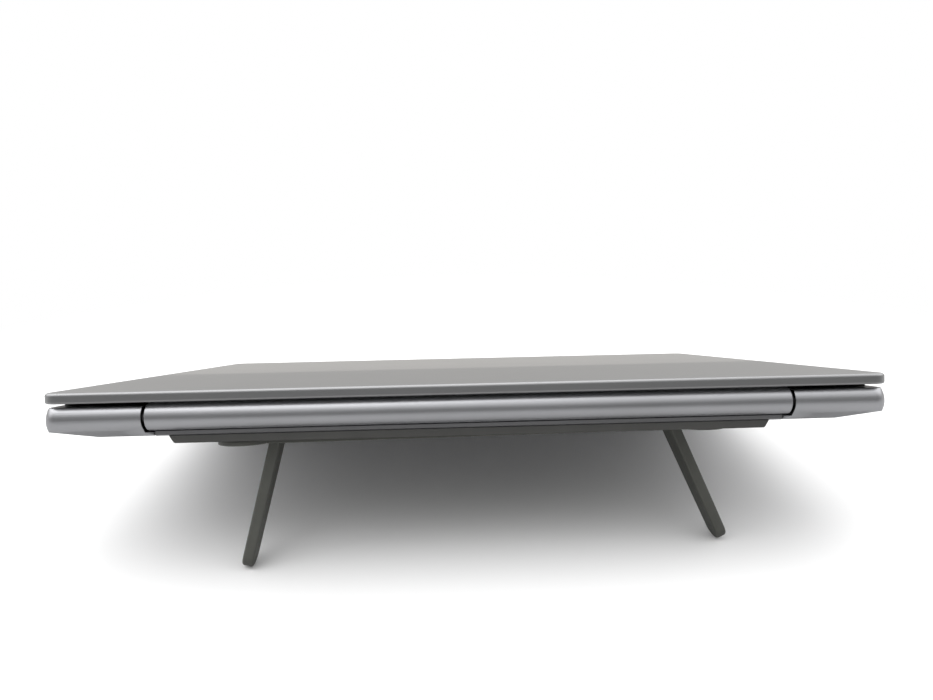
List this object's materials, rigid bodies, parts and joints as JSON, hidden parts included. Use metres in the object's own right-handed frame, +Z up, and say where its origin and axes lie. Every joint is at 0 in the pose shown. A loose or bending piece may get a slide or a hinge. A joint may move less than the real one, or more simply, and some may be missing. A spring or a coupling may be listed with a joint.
{
  "type": "laptop computer",
  "caption": "Closed clamshell laptop computer with a barrel hinge, raised at the back on the two folding legs of a stick-on stand.",
  "frame": {"origin": "on the floor, under the middle of the object's bounding box", "axes": "+Z up; +X to the user's right; -Y towards the user, at the front edge where the lid opens; the hinge edge faces +Y"},
  "size_m": [0.356, 0.2494, 0.0826],
  "materials": {
    "lid_metal": "fine satin anodised",
    "barrel_metal": "fine satin anodised",
    "case_metal": "fine satin anodised",
    "cover_metal": "satin anodised",
    "screen_glass": "black anti-glare glass",
    "black_plastic": "fine matte",
    "camera_plastic": "gloss black",
    "seal_rubber": "matte",
    "hinge_steel": "plain",
    "keyboard_steel": "matte black paint",
    "key_plastic": "fine matte",
    "button_metal": "satin",
    "touchpad_glass": "smooth satin",
    "screw_steel": "blackened",
    "foot_rubber": "matte",
    "circuit_board": "solder mask",
    "chip_black": "matte",
    "copper": "drawn copper",
    "fin_metal": "rolled",
    "rotor_plastic": "moulded",
    "battery_film": "wrapped film",
    "port_steel": "plain",
    "adhesive_foam": "foam tape",
    "stand_metal": "fine matte paint",
    "pin_steel": "ground"
  },
  "bodies": {
    "base": {"hinge_bracket_left": "hinge_steel", "hinge_bracket_right": "hinge_steel", "top_case": "case_metal", "keyboard_plate": "keyboard_steel", "bottom_cover": "cover_metal", "bottom_screws": "screw_steel", "front_feet": "foot_rubber", "rear_foot": "foot_rubber", "mainboard": "circuit_board", "processor_chips": "chip_black", "cooling_plates": "copper", "heat_pipes": "copper", "heat_sink_left": "fin_metal", "heat_sink_right": "fin_metal", "fan_housing_left": "black_plastic", "fan_housing_right": "black_plastic", "battery_pack": "battery_film", "ssd_module": "circuit_board", "memory_modules": "circuit_board", "wireless_card": "circuit_board", "speaker_left": "black_plastic", "speaker_right": "black_plastic", "usb_c_ports": "port_steel", "hdmi_port": "port_steel", "usb_a_port": "port_steel", "audio_jack": "black_plastic", "card_slot": "port_steel", "adhesive_pad": "adhesive_foam", "stand_plate": "stand_metal", "leg_pins": "pin_steel"},
    "lid": {"lid_cover": "lid_metal", "display_panel": "screen_glass", "display_bezel": "black_plastic", "display_seal": "seal_rubber", "camera_module": "camera_plastic", "hinge_barrel": "barrel_metal", "hinge_shafts": "hinge_steel"},
    "leg_left": {"leg_left": "stand_metal"},
    "leg_right": {"leg_right": "stand_metal"},
    "touchpad": {"touchpad": "touchpad_glass"},
    "power_button": {"power_button": "button_metal"},
    "fan_rotor_left": {"fan_rotor_left": "rotor_plastic"},
    "fan_rotor_right": {"fan_rotor_right": "rotor_plastic"},
    "keys_function": {"keys_function": "key_plastic"},
    "keys_number": {"keys_number": "key_plastic"},
    "keys_upper": {"keys_upper": "key_plastic"},
    "keys_home": {"keys_home": "key_plastic"},
    "keys_lower": {"keys_lower": "key_plastic"},
    "keys_bottom": {"keys_bottom": "key_plastic"},
    "space_bar": {"space_bar": "key_plastic"},
    "keys_arrow": {"keys_arrow": "key_plastic"}
  },
  "joints": [
    {"name": "lid_hinge", "type": "hinge", "parent": "base", "child": "lid", "pos_m": [0, 0.11535, 0.07068], "axis": [-1, 0, 0], "range_deg": [0, 120]},
    {"name": "leg_right_fold", "type": "hinge", "parent": "base", "child": "leg_right", "pos_m": [0.08561, 0.1049, 0.05604], "axis": [-0.0489, 0.9643, 0.2604], "range_deg": [-15.4, 104.6]},
    {"name": "leg_left_fold", "type": "hinge", "parent": "base", "child": "leg_left", "pos_m": [-0.09177, 0.09652, 0.05378], "axis": [0.0489, -0.9643, -0.2604], "range_deg": [-6.2, 113.8]},
    {"name": "keys_function_press", "type": "slide", "parent": "base", "child": "keys_function", "axis": [0, 0.2607, -0.9654], "range_m": [0, 0.0012], "stiffness_N_per_m": 500},
    {"name": "keys_number_press", "type": "slide", "parent": "base", "child": "keys_number", "axis": [0, 0.2607, -0.9654], "range_m": [0, 0.0012], "stiffness_N_per_m": 500},
    {"name": "keys_upper_press", "type": "slide", "parent": "base", "child": "keys_upper", "axis": [0, 0.2607, -0.9654], "range_m": [0, 0.0012], "stiffness_N_per_m": 500},
    {"name": "keys_home_press", "type": "slide", "parent": "base", "child": "keys_home", "axis": [0, 0.2607, -0.9654], "range_m": [0, 0.0012], "stiffness_N_per_m": 500},
    {"name": "keys_lower_press", "type": "slide", "parent": "base", "child": "keys_lower", "axis": [0, 0.2607, -0.9654], "range_m": [0, 0.0012], "stiffness_N_per_m": 500},
    {"name": "keys_bottom_press", "type": "slide", "parent": "base", "child": "keys_bottom", "axis": [0, 0.2607, -0.9654], "range_m": [0, 0.0012], "stiffness_N_per_m": 500},
    {"name": "space_bar_press", "type": "slide", "parent": "base", "child": "space_bar", "axis": [0, 0.2607, -0.9654], "range_m": [0, 0.0012], "stiffness_N_per_m": 400},
    {"name": "keys_arrow_press", "type": "slide", "parent": "base", "child": "keys_arrow", "axis": [0, 0.2607, -0.9654], "range_m": [0, 0.0012], "stiffness_N_per_m": 500},
    {"name": "power_button_press", "type": "slide", "parent": "base", "child": "power_button", "axis": [0, 0.2607, -0.9654], "range_m": [0, 0.0006], "stiffness_N_per_m": 400},
    {"name": "touchpad_click", "type": "hinge", "parent": "base", "child": "touchpad", "pos_m": [0, -0.03338, 0.03474], "axis": [1, 0, 0], "range_deg": [0, 0.3], "stiffness_Nm_per_rad": 20},
    {"name": "fan_spin_left", "type": "hinge", "parent": "base", "child": "fan_rotor_left", "pos_m": [-0.1, 0.0719, 0.05532], "axis": [0, -0.2607, 0.9654], "continuous": true},
    {"name": "fan_spin_right", "type": "hinge", "parent": "base", "child": "fan_rotor_right", "pos_m": [0.1, 0.0719, 0.05532], "axis": [0, -0.2607, 0.9654], "continuous": true}
  ]
}
